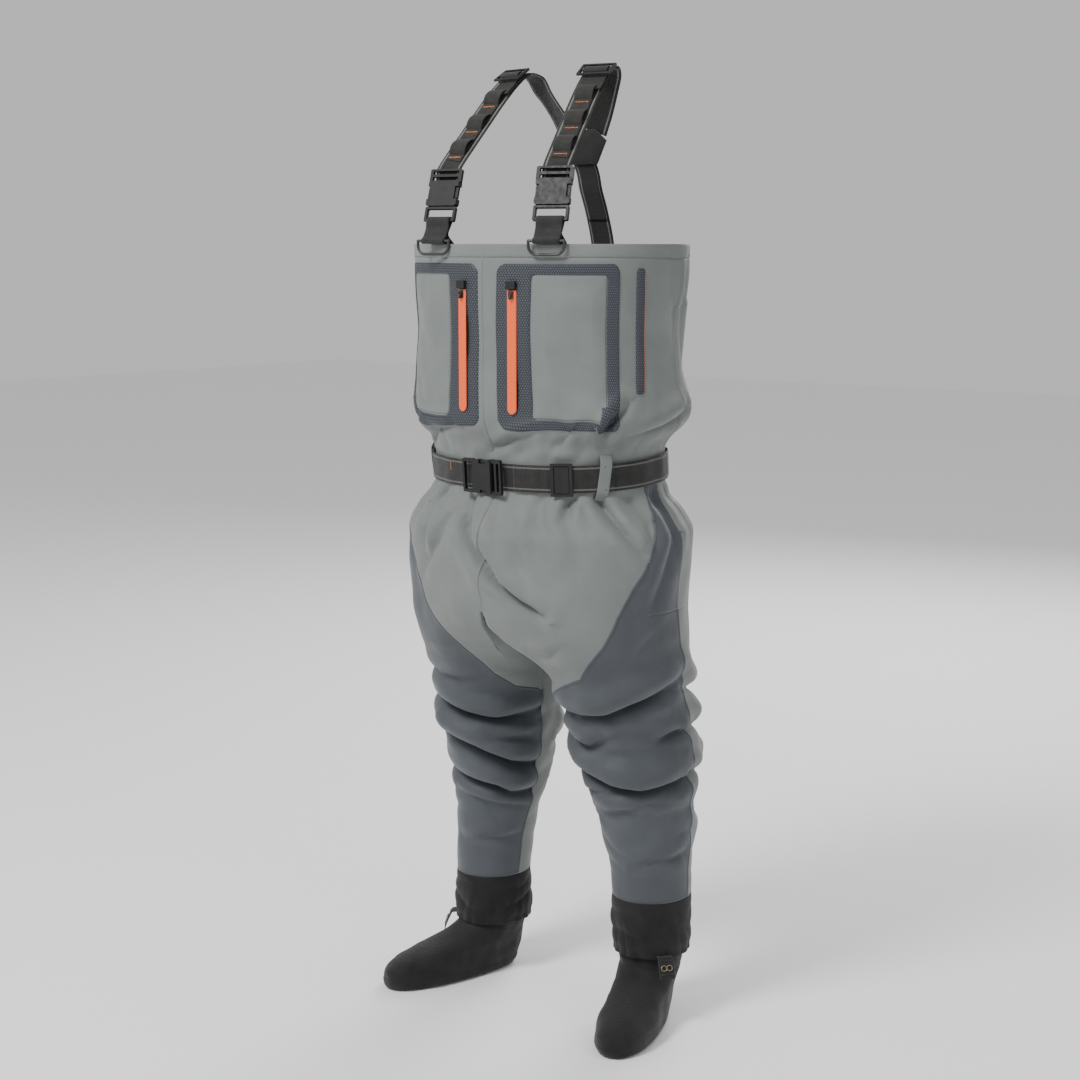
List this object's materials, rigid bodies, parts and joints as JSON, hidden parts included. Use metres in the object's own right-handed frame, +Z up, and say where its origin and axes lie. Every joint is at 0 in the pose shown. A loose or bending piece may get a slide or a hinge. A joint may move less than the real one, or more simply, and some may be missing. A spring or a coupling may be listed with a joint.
{
  "type": "chest waders",
  "caption": "Stockingfoot chest waders with bonded bib pockets, belted waist, baggy legs, neoprene booties and Y-back braces with side-release buckles.",
  "frame": {"origin": "on the ground midway between the soles, at the centre of the box", "axes": "+Z up, the front faces -Y, the wearer's left is +X"},
  "size_m": [0.5624, 0.372, 1.6511],
  "materials": {
    "shell_light": "matt sage grey coated nylon shell",
    "shell_dark": "matt slate grey coated nylon shell",
    "cuff_fabric": "matt black gathered fabric",
    "neoprene": "matt black knit-faced neoprene",
    "mesh_tape": "bonded tape with a fine hexagon grid",
    "zip_orange": "matt orange coated water-resistant zip tape",
    "webbing": "black ribbed webbing with two light stripes",
    "black_plastic": "satin moulded acetal",
    "dark_metal": "satin gunmetal"
  },
  "bodies": {
    "waders": {"bib_front": "shell_light", "bib_back": "shell_light", "bib_hem": "shell_light", "hip_front": "shell_light", "hip_side_right": "shell_dark", "hip_side_left": "shell_dark", "hip_back": "shell_light", "thigh_inner_right": "shell_light", "thigh_inner_left": "shell_light", "leg_front_right": "shell_dark", "leg_front_left": "shell_dark", "leg_back_right": "shell_light", "leg_back_left": "shell_light", "ankle_cuff_right": "cuff_fabric", "ankle_cuff_left": "cuff_fabric", "bootie_right": "neoprene", "bootie_left": "neoprene", "sole_right": "neoprene", "sole_left": "neoprene", "pocket_panel_right": "shell_light", "pocket_panel_left": "shell_light", "pocket_tape_right": "mesh_tape", "pocket_tape_left": "mesh_tape", "zip_tape_right": "zip_orange", "zip_tape_left": "zip_orange", "zip_garage": "black_plastic", "side_pocket_tape": "mesh_tape", "side_zip_tape": "zip_orange", "belt_webbing": "webbing", "belt_loops": "shell_light", "belt_buckle_female": "black_plastic", "belt_buckle_male": "black_plastic", "ring_tab_right": "webbing", "ring_tab_left": "webbing", "buckle_female_right": "black_plastic", "buckle_female_left": "black_plastic", "buckle_male_right": "black_plastic", "buckle_male_left": "black_plastic", "brace_right": "webbing", "brace_left": "webbing", "loop_webbing_right": "webbing", "loop_webbing_left": "webbing", "brace_glides": "black_plastic", "back_yoke": "webbing", "back_strap": "webbing"},
    "zip_slider_right_body": {"zip_slider_right": "dark_metal"},
    "zip_slider_left_body": {"zip_slider_left": "dark_metal"},
    "zip_pull_right_body": {"zip_pull_right": "black_plastic"},
    "zip_pull_left_body": {"zip_pull_left": "black_plastic"},
    "belt_prong_upper_body": {"belt_prong_upper": "black_plastic"},
    "belt_prong_lower_body": {"belt_prong_lower": "black_plastic"},
    "belt_glide_body": {"belt_glide": "black_plastic"},
    "d_ring_right_body": {"d_ring_right": "dark_metal"},
    "d_ring_left_body": {"d_ring_left": "dark_metal"},
    "prong_outer_right_body": {"prong_outer_right": "black_plastic"},
    "prong_inner_right_body": {"prong_inner_right": "black_plastic"},
    "prong_outer_left_body": {"prong_outer_left": "black_plastic"},
    "prong_inner_left_body": {"prong_inner_left": "black_plastic"},
    "lace_hook_right_body": {"lace_hook_right": "dark_metal"},
    "lace_hook_left_body": {"lace_hook_left": "dark_metal"}
  },
  "joints": [
    {"name": "chest_zip_right", "type": "slide", "parent": "waders", "child": "zip_slider_right_body", "axis": [0, 0, -1], "range_m": [0, 0.15]},
    {"name": "zip_pull_swing_right", "type": "hinge", "parent": "zip_slider_right_body", "child": "zip_pull_right_body", "pos_m": [-0.0535, -0.17337, 1.269], "axis": [-0.9945, 0.1045, 0], "range_deg": [0, 120]},
    {"name": "chest_zip_left", "type": "slide", "parent": "waders", "child": "zip_slider_left_body", "axis": [0, 0, -1], "range_m": [0, 0.15]},
    {"name": "zip_pull_swing_left", "type": "hinge", "parent": "zip_slider_left_body", "child": "zip_pull_left_body", "pos_m": [0.0535, -0.17337, 1.269], "axis": [-0.9945, -0.1045, 0], "range_deg": [0, 120]},
    {"name": "d_ring_swing_right", "type": "hinge", "parent": "waders", "child": "d_ring_right_body", "pos_m": [-0.118, -0.166, 1.355], "axis": [-0.9945, -0.1045, 0], "range_deg": [0, 140]},
    {"name": "d_ring_swing_left", "type": "hinge", "parent": "waders", "child": "d_ring_left_body", "pos_m": [0.118, -0.16, 1.355], "axis": [-0.9563, -0.2924, 0], "range_deg": [0, 140]},
    {"name": "buckle_press_outer_right", "type": "slide", "parent": "waders", "child": "prong_outer_right_body", "axis": [0.9945, 0.1045, 0], "range_m": [0, 0.004], "stiffness_N_per_m": 1200},
    {"name": "buckle_press_inner_right", "type": "slide", "parent": "waders", "child": "prong_inner_right_body", "axis": [-0.9945, -0.1045, 0], "range_m": [0, 0.004], "stiffness_N_per_m": 1200},
    {"name": "buckle_press_outer_left", "type": "slide", "parent": "waders", "child": "prong_outer_left_body", "axis": [-0.9563, -0.2924, 0], "range_m": [0, 0.004], "stiffness_N_per_m": 1200},
    {"name": "buckle_press_inner_left", "type": "slide", "parent": "waders", "child": "prong_inner_left_body", "axis": [0.9563, 0.2924, 0], "range_m": [0, 0.004], "stiffness_N_per_m": 1200},
    {"name": "belt_buckle_press_upper", "type": "slide", "parent": "waders", "child": "belt_prong_upper_body", "axis": [0, 0.0698, -0.9976], "range_m": [0, 0.004], "stiffness_N_per_m": 1200},
    {"name": "belt_buckle_press_lower", "type": "slide", "parent": "waders", "child": "belt_prong_lower_body", "axis": [0, -0.0698, 0.9976], "range_m": [0, 0.004], "stiffness_N_per_m": 1200},
    {"name": "belt_glide_slide", "type": "slide", "parent": "waders", "child": "belt_glide_body", "axis": [0.9195, 0.392, 0.0274], "range_m": [-0.015, 0.015]},
    {"name": "lace_hook_lift_right", "type": "hinge", "parent": "waders", "child": "lace_hook_right_body", "pos_m": [-0.24404, 0.01675, 0.104], "axis": [-0.6157, 0.788, 0], "range_deg": [0, 60]},
    {"name": "lace_hook_lift_left", "type": "hinge", "parent": "waders", "child": "lace_hook_left_body", "pos_m": [0.24404, 0.01675, 0.122], "axis": [-0.6157, -0.788, 0], "range_deg": [0, 60]}
  ],
  "couplings": [
    {"joint": "buckle_press_inner_right", "follows": "buckle_press_outer_right", "ratio": 1},
    {"joint": "buckle_press_inner_left", "follows": "buckle_press_outer_left", "ratio": 1},
    {"joint": "belt_buckle_press_lower", "follows": "belt_buckle_press_upper", "ratio": 1}
  ]
}
